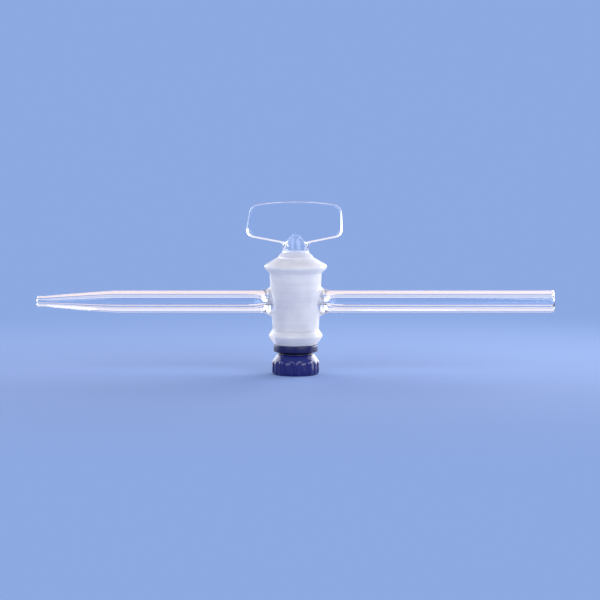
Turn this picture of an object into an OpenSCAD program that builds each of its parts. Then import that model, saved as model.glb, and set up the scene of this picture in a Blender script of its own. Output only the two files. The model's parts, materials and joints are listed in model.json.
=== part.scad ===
// Glass stopcock: a ground glass key in a glass barrel, with a straight inlet arm, a drawn jet
// and a plastic retainer that holds the key down in its taper.
// Millimetres. +Z is the key's axis, up through its grip, and +X runs out along the inlet arm.
// The origin is the centre of the retaining nut's foot.

/* [Key and bore] */
// Diameter of the ground taper at the barrel's mouth
taper_d = 12.5; // [11:0.5:14]
// Length in which the taper loses one millimetre of diameter
taper_ratio = 10; // [8:1:14]
// Radial gap between the ground key and the ground bore
film = 0.04; // [0.02:0.01:0.08]
// Diameter of the passage that the key opens and shuts
passage_d = 2; // [1:0.5:3]
// Height from the mouth of the barrel to the top of the key's shoulder
shoulder_h = 2; // [1.5:0.25:4]
// Diameter of the neck between shoulder and grip
neck_d = 9.2; // [7:0.2:10.6]
// Height of the neck's plain stretch
neck_h = 1.8; // [1:0.2:5]

/* [Grip] */
// Width of the grip across its top
grip_w = 32.6; // [26:0.2:40]
// Height of the grip over its foot
grip_h = 15.1; // [12:0.1:20]
// Thickness of the grip
grip_t = 5; // [3.6:0.2:6.4]
// Rise of the crown over the upper corners
grip_crown = 1.1; // [0.4:0.1:2]
// How far the grip's side over the jet leans out towards its foot
grip_lean_jet = 1.1; // [0:0.1:2]
// How far the grip's side over the inlet leans out towards its foot
grip_lean_inlet = 0.3; // [0:0.1:2]
// Radius of the grip's corners
grip_corner = 2.9; // [1.8:0.1:4]
// Radius of the rounded edge all round the grip
grip_edge = 1.6; // [0.6:0.1:1.7]
// Height of the ridge where the round neck fades into the flat grip
ridge_h = 4.6; // [2:0.2:8]

/* [Barrel] */
// Length of the barrel
barrel_len = 30.9; // [28:0.5:38]
// Outer diameter that the barrel's wall would reach at its mouth
barrel_top_d = 19.1; // [18.1:0.2:20]
// Outer diameter that the barrel's wall would reach at its foot
barrel_foot_d = 15.8; // [15:0.2:17]
// Diameter of the flared rim at the mouth
mouth_rim_d = 22.3; // [21.5:0.1:26]
// Diameter of the flared rim at the foot
foot_rim_d = 19.1; // [18.4:0.1:22]
// Diameter of the flat end at the barrel's foot
foot_face_d = 14.6; // [13:0.2:15.4]
// Distance from each end of the barrel to the widest part of its rim
rim_inset = 3.2; // [2.6:0.1:4]
// Radius of the rims' rounded edge
rim_nose = 0.95; // [0.5:0.05:1.1]

/* [Arms] */
// Outer diameter of both arms
arm_d = 8; // [6:0.5:9]
// Bore of both arms
arm_bore = 3.4; // [3:0.2:4.6]
// Distance from the key's axis to the end of each arm
arm_reach = 91.5; // [70:0.5:140]
// Height of the arms' axis over the barrel's foot
arm_z = 15.4; // [12:0.1:17]
// How far the fused fillet runs along each arm
weld_reach = 3.2; // [2:0.2:5]
// How far the fused fillet rises over each arm, up the barrel's wall
weld_rise = 1.3; // [0.6:0.1:2.5]
// Length in which an arm's bore narrows to the passage
bore_throat = 6.5; // [3:0.5:10]
// Radius of the fire-polished edge at the inlet's end
fire_polish = 0.6; // [0.2:0.1:0.9]

/* [Jet] */
// Outer diameter of the jet's tip
jet_tip_d = 3.9; // [3:0.1:5]
// Bore of the jet's tip
jet_bore = 1.2; // [0.6:0.1:2]
// Length of the drawn taper
jet_taper = 25.5; // [15:0.5:40]
// Length of the parallel tip
jet_tip_len = 3.1; // [2:0.1:8]
// How full the drawn taper stays near the arm, where 1 is a straight cone
jet_fullness = 1.3; // [1:0.05:2]

/* [Retainer] */
// Diameter of the key's tail
tail_d = 8; // [7:0.2:8.6]
// Depth of the groove in the tail
groove_depth = 0.9; // [0.5:0.1:1.2]
// Height of the groove
groove_h = 2.2; // [1.6:0.2:2.4]
// Height of the tail's end flange under the groove
flange_h = 1.4; // [1:0.1:1.8]
// How far the tail's end stands back from the nut's foot
tail_recess = 0.6; // [0.3:0.1:1]
// Outer diameter of the split collar, over its thread
collar_d = 10; // [9.6:0.1:10.8]
// Height of the split collar
collar_h = 4.1; // [3.7:0.1:4.1]
// Width of the slit in the collar
collar_slit = 1; // [0.6:0.1:2]
// Diameter of the thrust washer
washer_d = 15.6; // [14.8:0.2:16.4]
// Thickness of the thrust washer
washer_t = 2.4; // [1.2:0.1:4]
// Thickness of the rubber ring
ring_t = 1.9; // [1.4:0.1:2]
// Mean diameter of the rubber ring
ring_d = 10.4; // [10.2:0.1:10.8]
// How much of the rubber ring shows over the nut
ring_proud = 0.75; // [0.4:0.05:1]
// Diameter of the nut over its ribs
nut_d = 16.8; // [16:0.2:20]
// Height of the nut
nut_h = 7.3; // [7:0.1:9]
// Height of the nut's bevelled top
nut_bevel_h = 2; // [1:0.1:3]
// Width that the bevel takes off the nut's radius
nut_bevel_w = 1.5; // [0.5:0.1:1.6]
// Number of grip ribs round the nut
rib_count = 18; // [12:1:24]
// How far the ribs stand out
rib_depth = 0.4; // [0.2:0.05:0.6]
// Radial running gap between nut and collar, and between the washer and the key's tail
running_gap = 0.08; // [0.04:0.01:0.1]
// Axial gap between pieces that bear on each other
seat_gap = 0.05; // [0.02:0.01:0.1]

/* [Hidden] */
$fn = 96;
hull_fn = 32;
edge_steps = 4;
arc_steps = 8;
throat_steps = 10;
weld_steps = 8;
weld_turns = 40;
weld_sink = 0.5;
overlap = 0.02;
through = 1;

// Heights, stacked up from the foot of the nut
ring_z = nut_h + ring_proud - ring_t / 2;
washer_z = ring_z + ring_t / 2 + seat_gap;
foot_z = washer_z + washer_t + seat_gap;
mouth_z = foot_z + barrel_len;
shoulder_z = mouth_z + shoulder_h;
neck_z = shoulder_z + neck_h;
axis_z = foot_z + arm_z;
recess_z = ring_z - ring_t / 2 - seat_gap;
groove_z = tail_recess + flange_h;

// Radii
arm_r = arm_d / 2;
neck_r = neck_d / 2;
tail_r = tail_d / 2;
groove_r = tail_r - groove_depth;
washer_bore_r = tail_r + running_gap;
ring_well_r = ring_d / 2 + ring_t / 2 + running_gap;
nut_bore_r = collar_d / 2 + running_gap;
nut_root_r = nut_d / 2 - rib_depth;
nut_top_r = nut_d / 2 - rib_depth - nut_bevel_w;
web_r = 2;
foot_rise = 3.2;
edge_break = 0.3;
mouth_lip = 0.35;
key_overrun = 0.4;
key_setback = 0.6;

// Radius of the ground bore at height z
function bore_r(z) = taper_d / 2 - (mouth_z - z) / (2 * taper_ratio);

// Outer radius of the barrel's wall at height z
function wall_r(z) =
    let (share = (z - foot_z) / barrel_len)
    (barrel_foot_d + (barrel_top_d - barrel_foot_d) * share) / 2;

// Points of an arc from angle a0 to a1
function arc(cx, cy, r, a0, a1) =
    [for (i = [0 : arc_steps]) let (a = a0 + (a1 - a0) * i / arc_steps) [cx + r * cos(a), cy + r * sin(a)]];

// Half outline of the barrel, from its foot to its mouth, with a flared rim at each end
function barrel_outline() =
    let (
        foot_rim_z = foot_z + rim_inset,
        mouth_rim_z = mouth_z - rim_inset,
        flare_h = rim_inset - rim_nose
    ) concat(
        [[0, foot_z], [foot_face_d / 2, foot_z]],
        arc(foot_rim_d / 2 - rim_nose, foot_rim_z, rim_nose, -36, 36),
        [[wall_r(foot_rim_z + flare_h), foot_rim_z + flare_h]],
        [[wall_r(mouth_rim_z - flare_h), mouth_rim_z - flare_h]],
        arc(mouth_rim_d / 2 - rim_nose, mouth_rim_z, rim_nose, -38, 64),
        [[taper_d / 2 + mouth_lip, mouth_z], [0, mouth_z]]
    );

// Share of the way from passage to arm bore, eased at both ends
function ease(t) = (1 - cos(180 * t)) / 2;

// Half outline of the throat in which an arm's bore narrows to the passage, as [radius, distance]
function throat_outline(from) = concat(
    [[0, from]],
    [for (i = [0 : throat_steps]) let (t = i / throat_steps)
        [passage_d / 2 + (arm_bore - passage_d) / 2 * ease(t), from + bore_throat * t]],
    [[0, from + bore_throat]]
);

// Radius of the drawn jet at share t of its taper, from wide to narrow
function drawn_r(wide, narrow, t) = narrow + (wide - narrow) * (1 - pow(t, jet_fullness));

// Points of the drawn taper as [radius, distance]
function drawn(wide, narrow) =
    let (start = arm_reach - jet_tip_len - jet_taper)
    [for (i = [0 : throat_steps]) let (t = i / throat_steps) [drawn_r(wide, narrow, t), start + jet_taper * t]];

// Start of an arm's outline: slimmer under the fillet, and at full size from the fillet's end
function arm_root() =
    let (root_r = arm_r - edge_break, full_x = weld_end() - 2 * overlap)
    [[0, 0], [root_r, 0], [root_r, full_x], [arm_r, full_x]];

// Distance from the key's axis to the end of each fillet
function weld_end() = wall_r(axis_z) + weld_reach + edge_break;

// Stands a turned outline along +X at the arms' height
module along_arm() translate([0, 0, axis_z]) rotate([0, 90, 0]) rotate_extrude() children();

// Stands a turned outline along -X at the arms' height
module along_jet() mirror([1, 0, 0]) along_arm() children();

// Where a fillet point lies: share s runs from the arm to the barrel, at angle turn round the arm
function weld_point(turn, s) =
    let (
        wall = wall_r(axis_z + (arm_r + weld_rise * s) * cos(turn)),
        seam_x = sqrt(pow(wall, 2) - pow(arm_r * sin(turn), 2)),
        end_r = arm_r + weld_rise,
        end_x = sqrt(pow(wall, 2) - pow(end_r * sin(turn), 2)),
        r = (1 - pow(s, 2)) * (arm_r - overlap) + pow(s, 2) * end_r,
        x = pow(1 - s, 2) * weld_end() + 2 * s * (1 - s) * seam_x + pow(s, 2) * end_x
    ) [x, r];

// One fillet's cross-section, closed inside the glass of arm and barrel
function weld_section(turn) =
    let (
        skin = [for (i = [0 : weld_steps]) weld_point(turn, i / weld_steps)],
        last = skin[weld_steps]
    ) concat(
        [[skin[0][0] - overlap, arm_r - weld_sink]],
        [for (p = skin) [p[0] - overlap, p[1]]],
        [[last[0] - 2 * weld_sink, last[1] - weld_sink]],
        [[last[0] - 2 * weld_sink, arm_r - weld_sink]]
    );

// Ring of glass that blends an arm into the barrel
module weld_ring() {
    count = weld_steps + 4;
    points = [for (j = [0 : weld_turns - 1]) let (turn = 360 * j / weld_turns)
        for (p = weld_section(turn)) [p[0], p[1] * sin(turn), axis_z + p[1] * cos(turn)]];
    faces = [for (j = [0 : weld_turns - 1], i = [0 : count - 1]) let (
        here = j * count,
        next = ((j + 1) % weld_turns) * count,
        after = (i + 1) % count
    ) [here + i, here + after, next + after, next + i]];
    polyhedron(points, faces, convexity = 6);
}

// Barrel with both arms, fused into one piece of glass
module barrel() color("lavender", 0.6) difference() {
    union() {
        rotate_extrude() polygon(barrel_outline());
        along_arm() polygon(concat(
            arm_root(),
            arc(arm_r - fire_polish, arm_reach - fire_polish, fire_polish, 0, 90),
            [[0, arm_reach]]
        ));
        along_jet() polygon(concat(
            arm_root(),
            drawn(arm_r, jet_tip_d / 2),
            arc(jet_tip_d / 2 - fire_polish, arm_reach - fire_polish, fire_polish, 0, 90),
            [[0, arm_reach]]
        ));
        weld_ring();
        mirror([1, 0, 0]) weld_ring();
    }
    translate([0, 0, foot_z - through])
        cylinder(h = barrel_len + 2 * through, r1 = bore_r(foot_z - through), r2 = bore_r(mouth_z + through));
    arm_passages();
}

// Everything bored along the arms: passage, throats, arm bores and the jet's tapering bore
module arm_passages() {
    throat_x = wall_r(axis_z) + edge_break;
    bore_x = throat_x + bore_throat;
    taper_x = arm_reach - jet_tip_len - jet_taper;
    translate([0, 0, axis_z]) rotate([0, 90, 0])
        cylinder(h = 2 * throat_x + overlap, d = passage_d, center = true);
    along_arm() polygon(throat_outline(throat_x));
    along_jet() polygon(throat_outline(throat_x));
    translate([bore_x - overlap, 0, axis_z]) rotate([0, 90, 0])
        cylinder(h = arm_reach - bore_x + through, d = arm_bore);
    translate([-taper_x - overlap, 0, axis_z]) rotate([0, 90, 0])
        cylinder(h = taper_x - bore_x + 2 * overlap, d = arm_bore);
    along_jet() polygon(concat(
        [[0, taper_x]],
        drawn(arm_bore / 2, jet_bore / 2),
        [[jet_bore / 2, arm_reach + through], [0, arm_reach + through]]
    ));
}

// Round puck as thick as the grip, with its rim rounded, that stands at a corner of the grip
module grip_puck(x, z, r) translate([x, 0, z]) rotate([90, 0, 0]) rotate_extrude($fn = hull_fn) polygon(concat(
    [[0, -grip_t / 2]],
    [for (i = [0 : edge_steps]) let (a = 90 * i / edge_steps - 90)
        [r - grip_edge + grip_edge * cos(a), grip_edge - grip_t / 2 + grip_edge * sin(a)]],
    [for (i = [0 : edge_steps]) let (a = 90 * i / edge_steps)
        [r - grip_edge + grip_edge * cos(a), grip_t / 2 - grip_edge + grip_edge * sin(a)]],
    [[0, grip_t / 2]]
));

// Flat grip: a crowned top, sides that lean out and a foot that slopes in to the neck
module grip_blade() hull() {
    top = neck_z + web_r * 0.5 + grip_h;
    span = grip_w / 2 - grip_corner;
    corner_z = neck_z + foot_rise + grip_corner;
    for (i = [-2 : 2]) let (share = i / 2)
        grip_puck(share * span, top - grip_corner - grip_crown * pow(share, 2), grip_corner);
    grip_puck(span + grip_lean_inlet, corner_z, grip_corner);
    grip_puck(-span - grip_lean_jet, corner_z, grip_corner);
    for (side = [-1, 1]) grip_puck(side * (neck_r - grip_edge), neck_z + web_r * 0.5 + grip_edge, grip_edge);
}

// Concave webs that carry the neck's sides out into the grip's foot
module grip_webs() intersection() {
    rotate_extrude() polygon(concat(
        [[0, neck_z - overlap], [neck_r, neck_z - overlap]],
        arc(neck_r + web_r, neck_z, web_r, 180, 90),
        [[0, neck_z + web_r]]
    ));
    cube([grip_w, grip_t - 2 * edge_break, 4 * neck_z], center = true);
}

// Grip with the ridge in which the round neck fades out
module grip() {
    grip_blade();
    grip_webs();
    translate([0, 0, shoulder_z]) cylinder(h = neck_h + ridge_h, r1 = neck_r, r2 = grip_t / 2);
}

// Key: grip, neck, shoulder, ground taper with its passage, and the grooved tail, all one piece
module key() color("aliceblue", 0.6) difference() {
    union() {
        rotate_extrude() polygon([
            [0, tail_recess],
            [tail_r - edge_break, tail_recess],
            [tail_r, tail_recess + edge_break],
            [tail_r, groove_z],
            [groove_r, groove_z],
            [groove_r, groove_z + groove_h],
            [tail_r, groove_z + groove_h],
            [tail_r, foot_z + key_setback],
            [bore_r(foot_z + key_setback + edge_break) - film, foot_z + key_setback + edge_break],
            [bore_r(mouth_z + key_overrun) - film, mouth_z + key_overrun],
            [neck_r, shoulder_z],
            [neck_r, neck_z],
            [0, neck_z]
        ]);
        grip();
    }
    translate([0, 0, axis_z]) rotate([0, 90, 0]) cylinder(h = 2 * taper_d, d = passage_d, center = true);
}

// Split collar that snaps into the groove of the tail and carries the nut's thread
module split_collar() color("midnightblue") difference() {
    translate([0, 0, tail_recess + edge_break]) cylinder(h = collar_h, d = collar_d);
    translate([0, 0, -through]) cylinder(h = groove_z + seat_gap + through, r = tail_r + seat_gap);
    translate([0, 0, groove_z]) cylinder(h = groove_h, r = groove_r + seat_gap);
    translate([0, 0, groove_z + groove_h - seat_gap]) cylinder(h = nut_h, r = tail_r + seat_gap);
    translate([-collar_d / 2, 0, nut_h / 2]) cube([collar_d, collar_slit, nut_h + 2 * through], center = true);
}

// Thrust washer that turns against the foot of the barrel
module thrust_washer() color("darkslateblue") translate([0, 0, washer_z]) rotate_extrude() polygon([
    [washer_bore_r, 0],
    [washer_d / 2 - edge_break, 0],
    [washer_d / 2, edge_break],
    [washer_d / 2, washer_t - edge_break],
    [washer_d / 2 - edge_break, washer_t],
    [washer_bore_r, washer_t]
]);

// Rubber ring that keeps the key sprung down into its taper
module rubber_ring() color("black") translate([0, 0, ring_z]) rotate_extrude()
    translate([ring_d / 2, 0]) circle(d = ring_t);

// Ribbed nut that runs on the split collar
module retaining_nut() color("darkslateblue") difference() {
    union() {
        rotate_extrude() polygon([
            [0, 0],
            [nut_root_r - edge_break, 0],
            [nut_root_r, edge_break],
            [nut_root_r, nut_h - nut_bevel_h],
            [nut_top_r, nut_h],
            [0, nut_h]
        ]);
        for (i = [0 : rib_count - 1]) rotate(360 * (i + 0.5) / rib_count) nut_rib();
    }
    translate([0, 0, -through]) cylinder(h = nut_h + 2 * through, r = nut_bore_r);
    translate([0, 0, recess_z]) cylinder(h = nut_h, r = ring_well_r);
}

// One grip rib, half sunk in the nut's side, with its ends sloped away
module nut_rib() {
    rib_w = PI * nut_d / rib_count / 2;
    top = nut_h - nut_bevel_h;
    translate([nut_root_r, 0, 0]) rotate([90, 0, 0]) linear_extrude(rib_w, center = true) polygon([
        [-rib_depth, edge_break],
        [rib_depth, 3 * edge_break],
        [rib_depth, top - 3 * edge_break],
        [-rib_depth, top - edge_break]
    ]);
}

barrel();
key();
split_collar();
thrust_washer();
rubber_ring();
retaining_nut();
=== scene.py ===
"""Dresses the glass stopcock: a ground key in a glass barrel with two arms, and its plastic retainer.

The pieces' sizes are in millimetres, and so is a mesh until it becomes a piece. The sizes in finishes
and in the studio are in metres, as the scene is.
"""

from __future__ import annotations

import json
import logging
import math
from dataclasses import dataclass
from enum import Enum
from functools import cached_property
from typing import Callable, Mapping, Optional, Sequence, Union

import bmesh
import bpy
from mathutils import Matrix, Vector

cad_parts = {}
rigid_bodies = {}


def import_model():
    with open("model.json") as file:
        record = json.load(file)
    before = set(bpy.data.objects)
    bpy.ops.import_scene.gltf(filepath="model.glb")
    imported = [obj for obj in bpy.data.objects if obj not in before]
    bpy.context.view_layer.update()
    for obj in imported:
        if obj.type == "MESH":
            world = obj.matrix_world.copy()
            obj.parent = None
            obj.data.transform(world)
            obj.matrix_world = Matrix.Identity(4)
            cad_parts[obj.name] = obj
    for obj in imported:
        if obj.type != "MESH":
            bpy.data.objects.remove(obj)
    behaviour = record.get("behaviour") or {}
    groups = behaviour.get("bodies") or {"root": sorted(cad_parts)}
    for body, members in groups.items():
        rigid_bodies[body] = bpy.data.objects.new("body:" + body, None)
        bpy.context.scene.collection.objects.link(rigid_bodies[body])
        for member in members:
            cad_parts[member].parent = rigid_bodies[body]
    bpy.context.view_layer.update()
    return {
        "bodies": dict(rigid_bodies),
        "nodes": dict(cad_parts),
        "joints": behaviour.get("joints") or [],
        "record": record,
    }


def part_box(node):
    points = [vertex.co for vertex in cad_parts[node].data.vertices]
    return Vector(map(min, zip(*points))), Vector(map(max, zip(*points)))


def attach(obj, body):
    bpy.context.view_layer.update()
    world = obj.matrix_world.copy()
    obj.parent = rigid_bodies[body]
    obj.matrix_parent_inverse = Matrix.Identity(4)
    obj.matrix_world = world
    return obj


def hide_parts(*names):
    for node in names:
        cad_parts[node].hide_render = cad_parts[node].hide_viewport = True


LOG = logging.getLogger("stopcock")
MM = 0.001
GLASS_INDEX = 1.474
OVERSHOOT = 1.0  # how far a cutting tool stands out past the solid, in millimetres

Shell = bmesh.types.BMesh
Block = bpy.types.Object
Material = bpy.types.Material
Owner = Union[bpy.types.Material, bpy.types.World]
Socket = bpy.types.NodeSocket
Outline = list[tuple[float, float]]
Span = tuple[float, float]
Point = tuple[float, float, float]
Colour = tuple[float, float, float]


class Arm(Enum):
    """The two arms, by the way that they point from the barrel."""

    INLET = 1
    JET = -1


# ---------------------------------------------------------------- shaping


class Shaper:
    """Makes and joins meshes, all in millimetres."""

    @staticmethod
    def arc(cx: float, cy: float, r: float, a0: float, a1: float, steps: int = 12) -> Outline:
        """Lays points along an arc.

        Args:
            cx: First coordinate of the centre.
            cy: Second coordinate of the centre.
            r: Radius.
            a0: First angle in degrees.
            a1: Last angle in degrees.
            steps: Number of chords.

        Returns:
            The points in order.
        """
        turns = [math.radians(a0 + (a1 - a0) * i / steps) for i in range(steps + 1)]
        return [(cx + r * math.cos(t), cy + r * math.sin(t)) for t in turns]

    @staticmethod
    def drawn_in(
        wide: float, narrow: float, low: float, tall: float, fullness: float, steps: int
    ) -> Outline:
        """Lays points up a side that draws in ever faster.

        Args:
            wide: Radius at the start.
            narrow: Radius at the end.
            low: Height of the start.
            tall: Height from start to end.
            fullness: Power of the curve: the higher, the longer the side stays wide.
            steps: Number of chords.

        Returns:
            The points in order.
        """
        shares = [i / steps for i in range(steps + 1)]
        return [(narrow + (wide - narrow) * (1 - t**fullness), low + tall * t) for t in shares]

    @staticmethod
    def turned(outline: Outline, segments: int = 96, closed: bool = False) -> Shell:
        """Spins an outline of (radius, height) about Z.

        Args:
            outline: Points in order, in millimetres.
            segments: Number of steps in the full turn.
            closed: Whether the last point joins the first, as on a ring.

        Returns:
            The turned mesh, with its seam and poles merged and its faces outwards.
        """
        bm = bmesh.new()
        verts = [bm.verts.new((r, 0, z)) for r, z in outline]
        pairs = list(zip(verts, verts[1:])) + ([(verts[-1], verts[0])] if closed else [])
        edges = [bm.edges.new(pair) for pair in pairs]
        whole_turn = {"cent": (0, 0, 0), "axis": (0, 0, 1), "angle": 2 * math.pi, "use_merge": True}
        bmesh.ops.spin(bm, geom=verts + edges, steps=segments, **whole_turn)
        bmesh.ops.remove_doubles(bm, verts=bm.verts, dist=1e-4)
        bmesh.ops.dissolve_degenerate(bm, dist=1e-5, edges=bm.edges)
        bmesh.ops.recalc_face_normals(bm, faces=bm.faces)
        return bm

    @staticmethod
    def laid(bm: Shell, arm: Arm, height: float) -> Shell:
        """Lays a turned mesh along an arm.

        Args:
            bm: Mesh turned about Z.
            arm: Arm to lay it along.
            height: Height of the arms' axis.

        Returns:
            The same mesh, moved.
        """
        turn = Matrix.Rotation(arm.value * math.pi / 2, 3, "Y")
        bmesh.ops.rotate(bm, verts=bm.verts, cent=(0, 0, 0), matrix=turn)
        bmesh.ops.translate(bm, verts=bm.verts, vec=(0, 0, height))
        return bm

    @staticmethod
    def block(bm: Shell, name: str) -> Block:
        """Turns a bmesh into a linked object and frees it.

        Args:
            bm: The mesh.
            name: Name of the object and of its mesh.

        Returns:
            The object.
        """
        mesh = bpy.data.meshes.new(name)
        bm.to_mesh(mesh)
        bm.free()
        block = bpy.data.objects.new(name, mesh)
        bpy.context.scene.collection.objects.link(block)
        return block

    @staticmethod
    def loose(block: Block) -> Shell:
        """Takes up a block's mesh.

        Args:
            block: The object.

        Returns:
            A copy of its mesh.
        """
        bm = bmesh.new()
        bm.from_mesh(block.data)
        return bm

    @staticmethod
    def stored(bm: Shell, block: Block) -> None:
        """Puts a mesh back into a block and frees it."""
        bm.to_mesh(block.data)
        bm.free()

    @staticmethod
    def merged(*parts: Shell) -> Shell:
        """Puts several meshes into one, still as separate shells.

        Args:
            *parts: The meshes, which are used up.

        Returns:
            The one mesh.
        """
        whole = bmesh.new()
        for part in parts:
            mesh = bpy.data.meshes.new("part")
            part.to_mesh(mesh)
            part.free()
            whole.from_mesh(mesh)
            bpy.data.meshes.remove(mesh)
        return whole

    @classmethod
    def hull(cls, *parts: Shell) -> Shell:
        """Wraps several meshes in one convex hull.

        Args:
            *parts: The meshes, which are used up.

        Returns:
            The hull.
        """
        cloud = cls.merged(*parts)
        wrap = bmesh.ops.convex_hull(cloud, input=cloud.verts)
        spare = set(wrap["geom_interior"] + wrap["geom_unused"])
        inside = [g for g in spare if isinstance(g, bmesh.types.BMVert)]
        bmesh.ops.delete(cloud, geom=inside, context="VERTS")
        return cloud

    @staticmethod
    def applied(block: Block) -> None:
        """Applies the modifiers of a block.

        Args:
            block: The object, which gets the new mesh.
        """
        graph = bpy.context.evaluated_depsgraph_get()
        mesh = bpy.data.meshes.new_from_object(block.evaluated_get(graph))
        old = block.data
        block.modifiers.clear()
        block.data = mesh
        bpy.data.meshes.remove(old)

    @classmethod
    def cut(cls, block: Block, other: Shell) -> Block:
        """Takes a second solid away from a block.

        Args:
            block: First solid.
            other: Second solid, which is used up.

        Returns:
            The block with its new mesh.
        """
        tool = cls.block(other, "tool")
        step = block.modifiers.new("cut", "BOOLEAN")
        step.operation, step.solver, step.object = "DIFFERENCE", "EXACT", tool
        cls.applied(block)
        mesh = tool.data
        bpy.data.objects.remove(tool)
        bpy.data.meshes.remove(mesh)
        return block

    @classmethod
    def fused(cls, bm: Shell, name: str, grain: float, rounds: int) -> Block:
        """Melts overlapping shells into one smooth solid, as a glassblower's flame does.

        Args:
            bm: The shells.
            name: Name of the new block.
            grain: Size of the new mesh's squares in millimetres.
            rounds: Number of smoothing rounds.

        Returns:
            The block.
        """
        block = cls.block(bm, name)
        melt = block.modifiers.new("melt", "REMESH")
        melt.mode, melt.voxel_size, melt.use_smooth_shade = "VOXEL", grain, True
        cls.applied(block)
        soft = cls.loose(block)
        every_axis = {"use_axis_x": True, "use_axis_y": True, "use_axis_z": True}
        for _ in range(rounds):
            bmesh.ops.smooth_vert(soft, verts=soft.verts, factor=0.5, **every_axis)
        cls.stored(soft, block)
        return block

    @staticmethod
    def opened(bm: Shell, at: Point, away: Point) -> None:
        """Cuts off everything beyond a plane and leaves the cut open.

        Args:
            bm: Mesh to cut.
            at: A point on the plane.
            away: The direction in which the mesh is taken off.
        """
        whole = bm.verts[:] + bm.edges[:] + bm.faces[:]
        bmesh.ops.bisect_plane(bm, geom=whole, dist=1e-4, plane_co=at, plane_no=away, clear_outer=True)

    @staticmethod
    def bridged(bm: Shell, chosen: Callable[[Vector], bool]) -> None:
        """Closes the gap between two open rims.

        Args:
            bm: Mesh with the rims.
            chosen: Says whether a rim point belongs to this pair.
        """
        rim = [e for e in bm.edges if e.is_boundary and all(chosen(v.co) for v in e.verts)]
        bmesh.ops.bridge_loops(bm, edges=rim)

    @staticmethod
    def marked(bm: Shell, chosen: Callable[[float, float], bool]) -> None:
        """Gives some faces the second material, and the others the first.

        Args:
            bm: The mesh.
            chosen: Says so from a face's distance off the Z axis and its height.
        """
        for face in bm.faces:
            x, y, z = face.calc_center_median()
            face.material_index = int(chosen(math.hypot(x, y), z))


# ---------------------------------------------------------------- shader maths


Feed = Union[float, Colour, "Signal", Socket]
Feeds = Mapping[Union[str, int], Feed]


class Signal:
    """A number that changes over a surface. Sums with it add Math nodes."""

    def __init__(self, board: "NodeBoard", socket: Socket) -> None:
        """Keeps the socket and the board that it belongs to."""
        self.board = board
        self.socket = socket

    def _with(self, operation: str, first: Feed, second: Feed) -> "Signal":
        """Adds one Math node.

        Args:
            operation: The node's operation.
            first: First value or signal.
            second: Second value or signal.

        Returns:
            The node's result.
        """
        return self.board.signal("ShaderNodeMath", {"operation": operation}, {0: first, 1: second})

    def __add__(self, other: Feed) -> "Signal":
        """Adds."""
        return self._with("ADD", self, other)

    __radd__ = __add__

    def __sub__(self, other: Feed) -> "Signal":
        """Takes away."""
        return self._with("SUBTRACT", self, other)

    def __rsub__(self, other: Feed) -> "Signal":
        """Is taken away from a number."""
        return self._with("SUBTRACT", other, self)

    def __mul__(self, other: Feed) -> "Signal":
        """Multiplies."""
        return self._with("MULTIPLY", self, other)

    __rmul__ = __mul__

    def __pow__(self, other: Feed) -> "Signal":
        """Raises to a power."""
        return self._with("POWER", self, other)

    def sized(self) -> "Signal":
        """Drops the sign."""
        return self._with("ABSOLUTE", self, 0.0)

    def most(self, other: Feed) -> "Signal":
        """Takes the larger of two."""
        return self._with("MAXIMUM", self, other)

    def ramped(self, low: float, high: float) -> "Signal":
        """Eases from 0 at one value to 1 at another.

        Args:
            low: Value that becomes 0.
            high: Value that becomes 1.

        Returns:
            The eased number.
        """
        ends = {"Value": self, "From Min": low, "From Max": high}
        return self.board.signal("ShaderNodeMapRange", {"interpolation_type": "SMOOTHSTEP"}, ends)


@dataclass(frozen=True)
class Grain:
    """One layer of noise: waves per metre, a factor along each axis, and octaves."""

    scale: float
    stretch: Point = (1, 1, 1)
    detail: float = 3.0


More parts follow.
